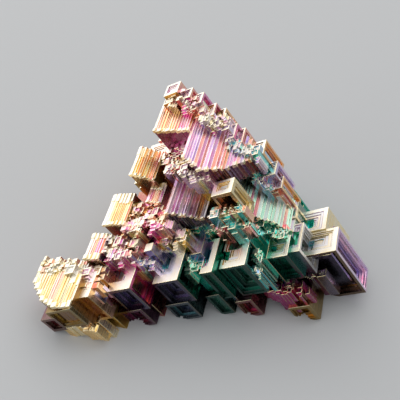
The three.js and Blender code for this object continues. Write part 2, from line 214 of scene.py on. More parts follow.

# at is a cube's top right corner in front and size is its lengths, as in the solid part. hollow is which of
# its faces are hollow: t is its top, and f, b, l and r are its front, back, left and right.
# deep, dark and shade are painted shade: deep on every face, dark on the front, shade on the other sides.
BLOCKS = {
    "brown step": dict(
        at=[-7.4, -18.2, 17], size=[2.4, 5.5, 7], hollow="f",
        film=[BROWN, BROWN, GOLD, CREAM, GOLD], dark=0.6),
    "violet cube": dict(
        at=[-1.5, -15.4, 14], size=[5, 6, 6.5], hollow="tfr",
        film=[VIOLET, MAGENTA, MAGENTA, CREAM, LILAC], rims=[-0.1, 1.9, 1.9, -0.1], ledges=[0, 0.5, 0.2, 0],
        drop=0.2, steps=6, pockets=[(2.4, 2.2, 0.6, 0.9, 0.5)], dark=0.85, shade=0.6),
    "navy cube": dict(
        at=[5.5, -12.5, 10.5], size=[5.5, 8, 6.5], hollow="tfr",
        film=[VIOLET, TEAL, BLUE, SILVER, BLUE], rims=[0.7, 1.6, 1.7, -0.1], ledges=[0.3, 0.35, 0.5, 0],
        drop=0.2, steps=5, pockets=[(0.9, 3.2, 1.4, 3.8, 1)], dark=0.93, shade=0.8),
    "slim cube": dict(
        at=[10.5, -10, 8], size=[2.6, 7.5, 8], hollow="tf",
        film=[TEAL, TEAL, PINK, CREAM, TURQUOISE], rims=[0.2, 1.2, 1.2, 0.6], ledges=[0.1, 0.2, 0.3, 0.2],
        drop=0.2, steps=3, pockets=[(0.2, 2.6, 1.1, 3.4, 1.2)], dark=0.94, shade=0.6),
    "green cube": dict(
        at=[16, -8.5, 6.5], size=[5.3, 7.7, 8.5], hollow="tfr",
        film=[TEAL, TURQUOISE, GOLD, CREAM, TEAL], rims=[0.5, 0.8, 0.8, 0.8],
        ledges=[0.25, 0.45, 0.55, 0.3], drop=0.17, steps=6,
        pockets=[(0.9, 4.3, 2.7, 2.2, 1.7), (-0.1, 2, 1.4, 1.9, 2)], dark=0.95, shade=0.75),
    "shell cube": dict(
        at=[21.5, -4.7, 2.5], size=[5.1, 4.5, 7], hollow="tf",
        film=[TEAL, TEAL, STRAW, CREAM, TURQUOISE], rims=[0.2, 0.5, 0.5, 0.5],
        ledges=[0.3, 0.35, 0.35, 0.3], drop=0.13, steps=6, pockets=[(1, 1.7, 1.5, 1.5, 1)], dark=0.95,
        shade=0.7),
    "low wedge": dict(
        at=[23.1, -3.4, 1.5], size=[2.2, 6.5, 7], hollow="tr",
        film=[BLUE, SILVER, LILAC, SILVER, TEAL], rims=[0.3, 0.4, 0.9, 0.4], ledges=[0.2, 0.2, 0.4, 0.3],
        steps=3, pockets=[(0.4, 1.8, 1.2, 3, 1.6)], dark=0.9, shade=0.1),
    "silver cube": dict(
        at=[28.2, -1.8, -2], size=[7.6, 5.4, 13.2], hollow="tfr",
        film=[BROWN, LILAC, STRAW, SILVER, BLUE], rims=[-0.1, 0.9, 0.8, 0.6], ledges=[0.2, 0.5, 0.45, 0.3],
        drop=0.16, steps=6, pockets=[(0.5, 1.4, 2.2, 2.4, 2), (3.4, 3, 1.4, 1, 1)], dark=0.9, cut=2.4),
    "silver back": dict(
        at=[25.8, 3.4, -1.6], size=[5, 5.2, 9.4], hollow="tb",
        film=[STRAW, STRAW, LILAC, SILVER, TURQUOISE], rims=[0.3, 0.8, 0.3, 0.8],
        ledges=[0.2, 0.5, 0.3, 0.4], pockets=[(0.5, 1, 1.7, 2.2, 1.4)]),
    "crown": dict(
        at=[7, 19, 26.4], size=[3.2, 3.2, 6], hollow="tb", film=[AMBER, CORAL, PINK, CREAM, CORAL]),
    "crown bud": dict(
        at=[5.6, 17.6, 25.6], size=[2, 1.9, 4], hollow="t", film=[AMBER, AMBER, GOLD, CREAM, AMBER]),
    "chain 1": dict(
        at=[9.5, 17.8, 25.2], size=[2.8, 2.7, 6], hollow="tbr", film=[MAGENTA, CORAL, PINK, CREAM, CORAL]),
    "chain 2": dict(
        at=[11.3, 17, 23.8], size=[2.4, 2.9, 6], hollow="tbr", film=[LILAC, MAGENTA, LILAC, SILVER, LILAC]),
    "chain 3": dict(
        at=[13.1, 15, 21.6], size=[2.4, 3.4, 6], hollow="tbr", film=[AMBER, CORAL, AMBER, CREAM, GOLD]),
    "chain 4": dict(
        at=[14.3, 14.6, 20], size=[1.8, 3.6, 6], hollow="tr", film=[GOLD, BROWN, STRAW, STRAW, STRAW]),
    "chain 5": dict(
        at=[16, 11.8, 17.8], size=[2.5, 3.8, 6], hollow="tbr",
        film=[LILAC, MAGENTA, LILAC, SILVER, MAGENTA]),
    "chain 6": dict(
        at=[17, 11.5, 16.4], size=[1.6, 3.9, 6], hollow="tr", film=[LILAC, CORAL, PINK, CREAM, CORAL]),
    "chain 7": dict(
        at=[19.6, 10.9, 13], size=[2.9, 3.7, 7], hollow="tbr", film=[CORAL, BROWN, STRAW, CREAM, STRAW]),
    "chain 8": dict(
        at=[20.6, 8.6, 9.6], size=[2.6, 3.4, 7], hollow="tbr", film=[LILAC, LILAC, BLUE, SILVER, BLUE]),
    "chain 9": dict(
        at=[21, 7, 7.4], size=[2.3, 3, 7], hollow="tr", film=[CORAL, BROWN, CORAL, CREAM, CORAL]),
    "chain 10": dict(
        at=[20.5, 6.1, 3.7], size=[2.3, 3.3, 7], hollow="tr", film=[MINT, STRAW, MINT, CREAM, MINT]),
    "chain 11": dict(
        at=[21.5, 4.3, 1.9], size=[2.1, 2.6, 6], hollow="tr", film=[CREAM, STRAW, TEAL, SILVER, TEAL]),
    "cream block": dict(
        at=[17, 0, 15.8], size=[4.2, 3.4, 7], hollow="tfr",
        film=[AMBER, STRAW, GOLD, CREAM, STRAW], rims=[0.9, 0.8, 0.9, 0.6], drop=0.1, steps=3, dark=0.7,
        shade=0.15),
    "olive block": dict(
        at=[11.5, 3.6, 15], size=[3, 2.4, 6], hollow="t", film=[GOLD, GOLD, GOLD, STRAW, STRAW]),
    "yellow bud": dict(
        at=[1.6, -8.4, 14.8], size=[1.7, 1.7, 4], hollow="", film=[VIOLET, VIOLET, GOLD, STRAW, GOLD]),
    "amber bud": dict(
        at=[4.4, -4.1, 13.6], size=[1.8, 1.9, 5], hollow="t", film=[AMBER, GOLD, AMBER, GOLD, GOLD]),
    "honey bud": dict(
        at=[6.2, -4.9, 12.6], size=[1.4, 1.7, 5], hollow="", film=[GOLD, GOLD, GOLD, GOLD, GOLD]),
    "teal bud": dict(
        at=[11.9, -0.9, 10], size=[2.8, 2.3, 5], hollow="t", film=[CORAL, CORAL, CORAL, CREAM, CREAM]),
    "mint bud": dict(
        at=[16.6, -1.6, 8.6], size=[2.8, 2.6, 5], hollow="t", film=[TEAL, CORAL, TEAL, CREAM, TEAL]),
    # deep gives these heels and feet painted shade all over, as they sit low under the cluster's front.
    "toe heel": dict(at=[-15, -21, 16.2], size=[3.5, 5, 3.8], hollow="f", film=[CORAL] * 5, deep=0.88),
    "toe face": dict(at=[-9.7, -20.95, 17.9], size=[6, 2, 5], hollow="f", film=[GOLD] * 5, deep=0.78),
    "toe foot": dict(
        at=[-12, -20.2, 11.6], size=[4, 5, 4.6], hollow="f", film=[GOLD] * 5, deep=0.4, dark=0.1),
    "dark foot 1": dict(at=[-3.1, -15.8, 8.2], size=[5.4, 6, 5], hollow="f", film=[MAGENTA] * 5, deep=0.9),
    "dark foot 2": dict(at=[4, -13, 4.6], size=[5.2, 6, 5], hollow="f", film=[BLUE] * 5, deep=0.93),
    "dark foot 3": dict(at=[8.3, -10.4, 2], size=[3, 5, 6], hollow="f", film=[TEAL] * 5, deep=0.92),
    "rust foot": dict(at=[12.4, -9.4, -2.2], size=[3.6, 6, 5], hollow="f", film=[CORAL] * 5, deep=0.8),
    "olive foot": dict(at=[20.8, -7.9, -8.4], size=[4.4, 6, 4.6], hollow="f", film=[GOLD] * 5, deep=0.75),
    "magenta foot": dict(at=[19.4, -5.6, -4.5], size=[5, 6, 8], hollow="fr", film=[MAGENTA] * 5, deep=0.75),
    "flank 1": dict(at=[-9, -12.4, 13], size=[5, 6, 9], hollow="lb", film=[GOLD] * 5, deep=0.5),
    "flank 2": dict(
        at=[-6, -6.5, 13], size=[5.4, 6, 10], hollow="lb",
        film=[AMBER, CORAL, AMBER, AMBER, AMBER], deep=0.5),
    "flank 3": dict(at=[-1.4, 1.6, 14.5], size=[6, 6.6, 11], hollow="lb", film=[CORAL] * 5, deep=0.6),
    "flank 4": dict(
        at=[2, 8.5, 19], size=[5.4, 7, 9], hollow="tlb", film=[AMBER, GOLD, AMBER, CREAM, STRAW]),
    "flank 5": dict(
        at=[-3, 7.6, 8.8], size=[6, 6.6, 8], hollow="tlb", film=[MAGENTA, LILAC, PINK, CREAM, MAGENTA]),
    "back 1": dict(
        at=[4.6, 15.5, 19.5], size=[6, 5.6, 10], hollow="tlb", film=[CORAL, AMBER, PINK, CREAM, CORAL]),
    "back 2": dict(
        at=[10.6, 14.5, 17.5], size=[5.4, 6, 10], hollow="b", film=[MAGENTA, LILAC, LILAC, LILAC, LILAC]),
    "back 3": dict(
        at=[1.6, 13.6, 11], size=[6.4, 6.2, 10], hollow="tlb",
        film=[MAGENTA, MAGENTA, PINK, CREAM, VIOLET]),
    "back 4": dict(
        at=[8.6, 15.6, 8.4], size=[6, 6, 9], hollow="tlb", film=[VIOLET, VIOLET, LILAC, CREAM, BLUE]),
    "back 5": dict(
        at=[15.2, 12.2, 11.5], size=[5.2, 5, 9], hollow="trb", film=[VIOLET, LILAC, LILAC, CREAM, LILAC]),
    "back 6": dict(
        at=[14.8, 13, 2.5], size=[6.4, 5.8, 9], hollow="trb", film=[BLUE, BLUE, LILAC, CREAM, TURQUOISE]),
    "back 7": dict(
        at=[19, 7, 4], size=[5.4, 4.8, 9], hollow="trb", film=[TEAL, TEAL, BLUE, CREAM, TURQUOISE]),
    "back 8": dict(
        at=[21.6, 5, -4], size=[6.2, 5.6, 9], hollow="trb", film=[TURQUOISE, TURQUOISE, BLUE, CREAM, TEAL]),
    "back 9": dict(at=[25.2, 0.8, -8], size=[5, 5, 9], hollow="trb", film=[MINT, MINT, TEAL, CREAM, CREAM]),
}

# Plain blocks inside the cluster, laid out as in the solid part. deep gives them painted shade all over,
# and dark the silver core's front.
CORES = {
    "toe core": dict(at=[-8, -17.4, 15], size=[8.6, 7, 11], hollow="lb", film=[GOLD] * 5, deep=0.5),
    "blush core": dict(at=[-3, -13.4, 12.6], size=[6.4, 9, 13], hollow="l", film=[CORAL] * 5, deep=0.5),
    "apricot core": dict(
        at=[-0.4, -8, 14.2], size=[6.2, 10.6, 18], hollow="lb", film=[CORAL] * 5, deep=0.5),
    "amber core": dict(at=[3.6, -1, 15.4], size=[5.8, 12, 20], hollow="lb", film=[CORAL] * 5, deep=0.5),
    "summit core": dict(at=[9.6, 8.2, 18], size=[8, 10.2, 26], hollow="b", film=[AMBER] * 5, deep=0.5),
    "rose core": dict(at=[14, 7.4, 15], size=[6, 10, 26], hollow="b", film=[MAGENTA] * 5, deep=0.4),
    "chain core": dict(at=[18.4, 10.2, 9.6], size=[6, 4, 24], hollow="rb", film=[TEAL] * 5, deep=0.3),
    "lilac core": dict(at=[8.4, -6.6, 9.6], size=[9, 14, 18], hollow="", film=[VIOLET] * 5, deep=0.5),
    "navy core": dict(at=[9.6, -9, 5.6], size=[10, 8, 14], hollow="f", film=[BLUE] * 5, deep=0.6),
    "green core": dict(at=[18, -5.4, 3.4], size=[10, 14, 18], hollow="f", film=[TEAL] * 5, deep=0.6),
    "mint core": dict(at=[21, 1.6, -0.6], size=[7, 8, 16], hollow="r", film=[TEAL] * 5, deep=0.5),
    "silver core": dict(
        at=[26, -0.4, -4.4], size=[8, 6.6, 12], hollow="rb", film=[VIOLET] * 5, deep=0.5, dark=0.95),
}

# Patches of small crystals, from their low to their high corner. Those in the solid part lie as in it.
# deep and dark are painted shade, all over and on the fronts.
RUBBLE = {
    "ember": dict(
        low=[-3.6, -6], high=[4.2, 0.6], top=[18.2, 15.8], cubes=13, edge=[1.2, 2.2],
        film=[CORAL, PEACH, PINK, AMBER, MAGENTA, STRAW], pale=0.4, dark=0.4),
    "pink": dict(
        low=[-7, -11], high=[-0.8, -5.6], top=[17.8, 15.6], cubes=10, edge=[1.2, 2],
        film=[PINK, LILAC, MAGENTA, CREAM, PEACH, LILAC], pale=0.45, dark=0.4),
    "teal": dict(
        low=[6.4, -2.6], high=[17, 1.2], top=[10.8, 6.4], cubes=18, edge=[1.2, 2.2],
        film=[TEAL, TURQUOISE, TEAL, MINT, TEAL, CORAL], pale=0.45, dark=0.55),
    "pale": dict(
        low=[3.6, 5.8], high=[9.8, 8.4], top=[19.6, 17.4], cubes=9, edge=[1.2, 2],
        film=[CREAM, CORAL, LILAC, STRAW]),
    "blossom": dict(
        low=[1, 8.6], high=[8, 11.6], top=[19, 19.6], cubes=8, edge=[1.2, 2.2],
        film=[CORAL, PINK, AMBER, MAGENTA]),
    "magenta": dict(
        low=[14, -7.6], high=[22, -4.6], top=[-2.4, -6.4], cubes=8, edge=[1.2, 2.2],
        film=[MAGENTA, CORAL, MAGENTA, MAGENTA], pale=0, deep=0.45, dark=0.6),
    "toe": dict(
        low=[-15, -21], high=[-9.6, -18.6], top=[13, 11], cubes=5, edge=[1.2, 2.2],
        film=[GOLD, STRAW, GOLD], pale=0.35, dark=0),
    "dusk": dict(
        low=[-3.4, -10.4], high=[1, -7], top=[14, 12.4], cubes=7, edge=[1.2, 2],
        film=[VIOLET, LILAC, BLUE, STRAW, LILAC]),
    "honey": dict(
        low=[1.6, -6.6], high=[6.4, -2.6], top=[13.8, 12], cubes=5, edge=[1.2, 2],
        film=[GOLD, STRAW, LILAC, CREAM]),
    "peach": dict(
        low=[-10.6, -16.2], high=[-6.2, -11.4], top=[17.8, 15.8], cubes=10, edge=[1.2, 2.2],
        film=[STRAW, AMBER, PINK, CORAL, LILAC]),
    "left rims": dict(
        low=[-3.4, 4.6], high=[1.6, 10.4], top=[18.6, 17.4], cubes=6, edge=[1.4, 2.4],
        film=[AMBER, CREAM, STRAW]),
    "under rose": dict(
        low=[8.4, 1.8], high=[12.8, 4.6], top=[20.6, 17.4], cubes=7, edge=[1, 1.8],
        film=[CREAM, LILAC, PINK, STRAW, PINK], pale=0.6),
    "fringe": dict(
        low=[12.6, 0.4], high=[21, 1.4], top=[8.8, 2.4], cubes=8, edge=[1.2, 2],
        film=[TEAL, MINT, CORAL, TEAL, TURQUOISE], pale=0.5, dark=0.7),
    "low fringe": dict(
        low=[16.6, -0.8], high=[21, 0.6], top=[5.4, 2.6], cubes=5, edge=[1.2, 1.8],
        film=[TEAL, TURQUOISE, CORAL, TEAL], pale=0.3, dark=0.8),
    "shelf": dict(
        low=[11.4, -1.6], high=[16.8, -0.4], top=[13.2, 12], cubes=6, edge=[1.2, 2],
        film=[TURQUOISE, PEACH, TEAL, STRAW, CORAL], pale=0.5, dark=0.6),
    "shelf foot": dict(
        low=[12.2, -2.8], high=[17.4, -1.8], top=[10.8, 9.4], cubes=6, edge=[1.2, 1.8],
        film=[TURQUOISE, TEAL, MINT, CORAL], pale=0.4, dark=0.7),
    "upper chain crumbs": dict(
        low=[8, 15.4], high=[11.6, 18.2], top=[25, 23.4], cubes=3, edge=[0.8, 1.4],
        film=[CREAM, LILAC, PINK, CORAL], pale=0.8, dark=0.3),
    "middle chain crumbs": dict(
        low=[11.8, 12.6], high=[15.4, 15.6], top=[22.6, 19.2], cubes=6, edge=[0.9, 1.7],
        film=[CREAM, LILAC, PINK, STRAW], pale=0.8, dark=0.3),
    "lower chain crumbs": dict(
        low=[15.2, 9.2], high=[19.2, 12], top=[18, 13.2], cubes=8, edge=[0.9, 1.7],
        film=[SILVER, LILAC, BLUE, TURQUOISE], pale=0.8, dark=0.3),
    "foot chain crumbs": dict(
        low=[17.4, 6.2], high=[20.6, 8.8], top=[11.4, 5], cubes=7, edge=[0.9, 1.6],
        film=[SILVER, BLUE, TURQUOISE, LILAC, CORAL], pale=0.8, dark=0.3),
    "crown crumbs": dict(
        low=[4.8, 17], high=[8.4, 19.6], top=[25.2, 26.2], cubes=3, edge=[0.9, 1.4],
        film=[CREAM, PINK, CORAL, STRAW], pale=0.7),
    "bloom": dict(
        low=[-3.4, -1.4], high=[1.2, 1.4], top=[17.4, 15.4], cubes=8, edge=[1.2, 2],
        film=[CORAL, PINK, AMBER, MAGENTA], pale=0.5),
    "toe crown": dict(
        low=[-18.6, -13.4], high=[-10.6, -10.8], top=[20.6, 18.6], cubes=6, edge=[1.2, 2.2],
        film=[CREAM, STRAW, PEACH, CREAM], pale=0.7),
    "emerald": dict(
        low=[5.6, -9.2], high=[7.9, -4], top=[9, 7.6], cubes=8, edge=[1, 1.8],
        film=[TEAL, TURQUOISE, TEAL, MINT], pale=0.3, dark=0.4),
    "green spill": dict(
        low=[16.1, -6.2], high=[17.2, -4.2], top=[4.4, 3.4], cubes=4, edge=[0.8, 1.3],
        film=[TEAL, MINT, TEAL, TURQUOISE], pale=0.3, dark=0.6),
    "blue spill": dict(
        low=[16.1, -8.2], high=[16.9, -6.8], top=[3.4, 2.6], cubes=3, edge=[0.7, 1.1],
        film=[TURQUOISE, BLUE, MINT, BLUE], pale=0.4, dark=0.5),
    "violet foot": dict(
        low=[20.8, -2.9], high=[23.4, -2.2], top=[-6.2, -7], cubes=5, edge=[1, 1.8],
        film=[VIOLET, MAGENTA, VIOLET, LILAC], pale=0.1, deep=0.6, dark=0.85),
}

# Little stairs on the chain that climbs the right edge. All go down to the front.
CHAIN_STEPS = [
    dict(at=[9.6, 15.6, 24.6], size=[2.6, 2.4, 1.5], ridges=5, film=LILAC, side=MAGENTA),
    dict(at=[11.4, 14.6, 23.2], size=[2.4, 2.6, 1.7], ridges=5, film=STRAW, side=CORAL),
    dict(at=[13.2, 12, 21.2], size=[2.4, 3.2, 2], ridges=6, film=LILAC, side=MAGENTA),
    dict(at=[14.6, 11.4, 19.2], size=[2, 3.2, 2], ridges=6, film=SILVER, side=LILAC),
    dict(at=[16, 8.8, 17.2], size=[2.5, 3.2, 2.2], ridges=6, film=LILAC, side=BLUE),
    dict(at=[16.5, 9.9, 12.9], size=[2.2, 3.4, 2.2], ridges=6, film=BLUE, side=LILAC),
    dict(at=[18.1, 9.1, 10.9], size=[2.8, 3.4, 2.4], ridges=7, film=SILVER, side=BLUE),
    dict(at=[19.2, 7, 7.8], size=[2.6, 3.2, 2.4], ridges=7, film=BLUE, side=LILAC),
]


def scatter(n):
    """The same scatter each time: a fraction from 0 to 1 for each whole number."""
    x = math.sin(n * 12.9898 + 4.1414) * 43758.5453
    return x - math.floor(x)


def along(values, s):
    """The value at a fraction s of the way along a list of evenly spaced ones."""
    x = s * (len(values) - 1)
    i = min(len(values) - 2, math.floor(x))
    return values[i] + (values[i + 1] - values[i]) * (x - i)


class Counter:
    """Hands out the scatter's next fraction each time it is asked."""

    def __init__(self, start=0):
        self.n = start

    def share(self):
        """A fraction from 0 to 1."""
        self.n += 1
        return scatter(self.n - 1)

    def above(self, least, swing):
        """A number from least to least + swing."""
        return least + swing * self.share()

    def between(self, low, high):
        """A number from low to high."""
        return low + (high - low) * self.share()

    def near(self, middle, swing):
        """A number at most half of swing away from middle."""
        return middle + swing * (self.share() - 0.5)

    def pick(self, values):
        """One of the values."""
        return values[int(self.share() * len(values))]


layout = Counter()  # keeps to the solid part's own run of numbers
detail = Counter(5000)

growth = bpy.data.collections.new("growth")
bpy.context.scene.collection.children.link(growth)


def cube_mesh(low, high, film, deep=0.0, dark=0.0, shade=0.0, arris=ARRIS):
    """A cube from low to high with bevelled arrises, filmed straw as a painted highlight.

    film is its top's, its front's, its other sides' and its base's. deep is painted shade on all of it,
    dark is painted shade on its front only and shade is painted shade on its other sides and its base.
    """
    bm = bmesh.new()
    film_of = bm.faces.layers.float.new("film")
    painted_shade_of = bm.faces.layers.float.new("deep")
    low, high = Vector(low), Vector(high)
    bmesh.ops.create_cube(bm, size=1)
    bmesh.ops.scale(bm, vec=high - low, verts=bm.verts)
    bmesh.ops.translate(bm, vec=(low + high) / 2, verts=bm.verts)
    top, front, sides, base = film
    deep = max(deep, 0)
    # painted shade: deep on every face, dark on the front, shade on the other sides and the base
    for face in bm.faces:
        if face.normal.z > FACING:
            face[film_of], face[painted_shade_of] = top, deep
        elif face.normal.z < -FACING:
            face[film_of], face[painted_shade_of] = base, max(deep, shade)
        elif face.normal.y < -FACING:
            face[film_of], face[painted_shade_of] = front, max(deep, dark)
        else:
            face[film_of], face[painted_shade_of] = sides, max(deep, shade)
    if arris:
        bevelled = bmesh.ops.bevel(
            bm, geom=bm.edges[:], offset=min(arris, min(high - low) * ARRIS_SHARE), segments=1,
            affect="EDGES", profile=0.5, material=-1, clamp_overlap=True)
        # painted highlight: the arrises get a straw film so they read as bright edge lines; those facing
        # the front keep its painted shade
        for face in bevelled["faces"]:
            in_front = face.normal.y < -PARTLY_FACING and face.normal.z < PARTLY_FACING
            face[film_of] = STRAW
            face[painted_shade_of] = max(deep, dark) if in_front else deep
    mesh = bpy.data.meshes.new("cube")
    bm.to_mesh(mesh)
    bm.free()
    return mesh


def grown(mesh):
    """Adds a mesh to what the cluster is joined from."""
    growth.objects.link(bpy.data.objects.new("growth", mesh))


def joined(mesh, others, operation):
    """mesh with the other meshes added to it, cut from it or kept inside them, as one closed mesh."""
    scratch = bpy.data.collections.new("scratch")
    bpy.context.scene.collection.children.link(scratch)
    base = bpy.data.objects.new("base", mesh)
    bpy.context.scene.collection.objects.link(base)
    helpers = [bpy.data.objects.new("helper", other) for other in others]
    for helper in helpers:
        scratch.objects.link(helper)
    change = base.modifiers.new("join", "BOOLEAN")
    change.operation = operation
    change.solver = "MANIFOLD"
    change.operand_type = "COLLECTION"
    change.collection = scratch
    result = bpy.data.meshes.new_from_object(base.evaluated_get(bpy.context.evaluated_depsgraph_get()))
    for helper in helpers + [base]:
        used = helper.data
        bpy.data.objects.remove(helper)
        if used.users == 0:
            bpy.data.meshes.remove(used)
    bpy.data.collections.remove(scratch)
    return result


# The axis that each upright face looks along, and which way.
FACES = {"r": (0, 1), "l": (0, -1), "b": (1, 1), "f": (1, -1)}


def hollow_painted_shade(n, dark):
    """The painted shade on a hollow's step n: darker with each step, but a painted glint lightens every
    second step.
    """
    painted_glint = PAINTED_GLINT * (GLINT_REACH - dark) if n % 2 else 0
    return dark + (DARKEST_PAINTED_SHADE - dark) * n / FACE_STEPS - painted_glint


def face_cutters(low, high, face, film, drop, dark):
    """Nested cutters for the stepped hollow in one upright face, each narrower and deeper than the last."""
    axis, side = FACES[face]
    across = [i for i in range(3) if i != axis]
    start, end = list(low), list(high)
    for i in across:
        start[i] += RIM * detail.above(*UNEVEN_RIM)
        end[i] -= RIM * detail.above(*UNEVEN_RIM)
    depth = 0
    made = []
    for n in range(FACE_STEPS):
        depth += drop * detail.above(*UNEVEN)
        if side > 0:
            start[axis], end[axis] = high[axis] - depth, high[axis] + SKIN
        else:
            start[axis], end[axis] = low[axis] - SKIN, low[axis] + depth
        if min(end[i] - start[i] for i in across) < NARROWEST_HOLLOW:
            break
        tint = detail.near(film, HOLLOW_TINT)
        # painted shade on each step, darker deeper down, with a painted glint on every second step
        made.append(cube_mesh(start, end, [tint] * 4, deep=hollow_painted_shade(n, dark), arris=0))
        for i in across:
            start[i] += LEDGE * detail.above(*UNEVEN_LEDGE)
            end[i] -= LEDGE * detail.above(*UNEVEN_LEDGE)
    return made


def terrace_cutters(low, high, rims, ledges, drop, steps, wall, floors):
    """Nested cutters for the terraces inside a cube's top rim, each with a fine line at its edge.

    rims and ledges are the widths at the left, right, front and back. A rim under 0 leaves that side open.
    """
    start, end = [low[0] + rims[0], low[1] + rims[2]], [high[0] - rims[1], high[1] - rims[3]]
    depth = 0
    made = []
    for n in range(steps):
        depth += drop * detail.above(*UNEVEN)
        if min(end[0] - start[0], end[1] - start[1]) < NARROWEST_TERRACE:
            break
        floor = detail.near(floors[n % len(floors)], TINT)
        # painted shade: on the fine line at each terrace's edge, and more on each lower floor
        line_and_floor = ((0, 0, wall, LINE_SHADE), (LINE, GROOVE, floor, FLOOR_SHADE * n / steps))
        for inset, extra, tone, shade in line_and_floor:
            made.append(cube_mesh(
                [start[0] + inset, start[1] + inset, high[2] - depth - extra],
                [end[0] - inset, end[1] - inset, high[2] + SKIN],
                (wall, wall, wall, tone), deep=shade, arris=0))
        for i in (0, 1):
            start[i] += ledges[2 * i] * detail.above(*UNEVEN_TERRACE)
            end[i] -= ledges[2 * i + 1] * detail.above(*UNEVEN_TERRACE)
    return made


def pocket_cutters(low, top, pocket, film):
    """Cutters for a stepped pocket in a cube's top.

    pocket is its corner's place on the top, its width, its length and its depth.
    """
    u, v, width, length, depth = pocket
    made = []
    for inset, share in POCKET_STEPS:
        if min(width, length) - 2 * inset > NARROWEST_TERRACE:
            made.append(cube_mesh(
                # painted shade, more on each deeper step
                [low[0] + u + inset, low[1] + v + inset, top - depth * share],
                [low[0] + u + width - inset, low[1] + v + length - inset, top + SKIN],
                (film, film, film, film + POCKET_THICKER), deep=POCKET_SHADE * share, arris=0))
    return made


def grow_block(at, size, hollow, film, rims=None, ledges=None, drop=0.1, steps=5, pockets=(),
               deep=0.0, dark=0.4, shade=0.0, cut=1):
    """A cube with stepped hollows in the faces that hollow names.

    film is the front's, the sides', the terrace walls', the first terrace's and the pockets'. cut is how
    much deeper the front's hollow is than usual. deep, dark and shade are painted shade: deep on all its
    outer faces, dark on the front and its hollow, shade on the other sides, the base and their hollows.
    """
    low = [at[0] - size[0], at[1], at[2] - size[2]]
    high = [at[0], at[1] + size[1], at[2]]
    front, sides, wall, floor, pocket = film
    mesh = cube_mesh(low, high, (CREAM if deep == 0 else sides, front, sides, sides), deep, dark, shade)
    cutters = []
    shorter = min(size[0], size[1])
    for face in hollow:
        if face == "t":
            top_rims = rims or [shorter * detail.above(*TOP_RIM) for _ in range(4)]
            top_ledges = ledges or [min(WIDEST_LEDGE, shorter * LEDGE_SHARE)] * 4
            floors = (floor, CREAM, SILVER)
            cutters += terrace_cutters(low, high, top_rims, top_ledges, drop, steps, wall, floors)
        elif face == "f":
            cutters += face_cutters(low, high, face, front, DROP * cut, max(deep, dark))
        else:
            cutters += face_cutters(low, high, face, sides, DROP, max(deep, shade))
    for place in pockets:
        cutters += pocket_cutters(low, high[2], place, pocket)
    grown(joined(mesh, cutters, "DIFFERENCE") if cutters else mesh)


def shares(count):
    """Uneven shares that add up to 1."""
    parts = [layout.above(*UNEVEN) for _ in range(count)]
    return [p / sum(parts) for p in parts]


def grow_stair(crest, run, fall, ridges, front, back, deep, film, riser, face, brow, heel, dark=0.6):
    """Long ridges stepping down towards u, each in a few fine steps.

    film, riser and face are the films of the treads, the risers and the front ends. brow and heel are how
    far the pale raised bands reach in from the front and back ends. dark is the painted shade on the front
    ends, and the risers get painted shade too.
    """
    u, w = crest
    treads, drops = shares(ridges), shares(ridges)
    for i in range(ridges):
        s = i / (ridges - 1)
        nudge = layout.near(0, RAGGED)
        start, end = along(front, s) + nudge, along(back, s) - nudge
        tread = treads[i] * run
        lap = LAP if i < ridges - 1 else 0
        tone = detail.near(along(film, s), TINT)
        for part in range(FINE):
            t = min(1, s + part / FINE / (ridges - 1))
            place = u + tread * part / FINE
            wall = detail.near(detail.pick(riser), FINE_TINT)
            last = i == ridges - 1 and part == FINE - 1
            # painted shade on the risers, random, and strongest on the last one
            shade = LAST_RISER_SHADE if last else RISER_SHADE * detail.share()
            grown(cube_mesh(
                [place - TUCK, detail.above(along(front, t) + nudge, FRAY), w - deep],
                [place + tread / FINE + lap, detail.above(along(back, t) - nudge, -FRAY),
                 w - drops[i] * fall * part / FINE],
                (detail.near(tone, FINE_TINT), face, wall, wall), dark=dark, shade=shade, arris=FINE_ARRIS))
        bands = (
            (brow, along(front, s) - BAND_OVERHANG, start + brow * detail.above(*UNEVEN_BAND)),
            (heel, end - heel * detail.above(*UNEVEN_BAND), along(back, s) + BAND_OVERHANG),
        )
        for band, low_v, high_v in bands:
            if band:
                grown(cube_mesh(
                    [u - BAND_LAP, low_v, w - BAND_DEPTH],
                    [u + tread, high_v, detail.above(w + BAND_RISE, BAND_SWELL)],
                    (CREAM * detail.above(*UNEVEN), STRAW, STRAW, STRAW), arris=SMALL_ARRIS))
        u += tread
        w -= drops[i] * fall


def grow_small_stair(at, size, ridges, towards, film, side, deep=0.0, dark=0.4):
    """A little stair whose steps go down to the right or to the front, as towards says."""
    u, v, w = at
    for i in range(ridges):
        tone = detail.near(film, SMALL_TINT) if detail.share() < TINTED_STEPS else CREAM
        drop = i * size[2] / ridges
        if towards == "r":
            left = u - size[0] + i * size[0] / ridges
            right = u - size[0] + (i + 1) * size[0] / ridges + SMALL_LAP
            low = [left, detail.above(v, SMALL_FRAY), w - drop - SMALL_DEPTH]
            high = [right, detail.above(v + size[1], -SMALL_FRAY), w - drop]
        else:
            back = v + size[1] - i * size[1] / ridges
            front = back - size[1] / ridges - SMALL_LAP
            low = [detail.above(u - size[0], FRONT_FRAY), front, w - drop - SMALL_DEPTH]
            high = [detail.above(u, -FRONT_FRAY), back, w - drop]
        # painted shade: deep on every face, dark on the front
        grown(cube_mesh(low, high, (tone, side, side, side), deep, dark, arris=SMALL_ARRIS))


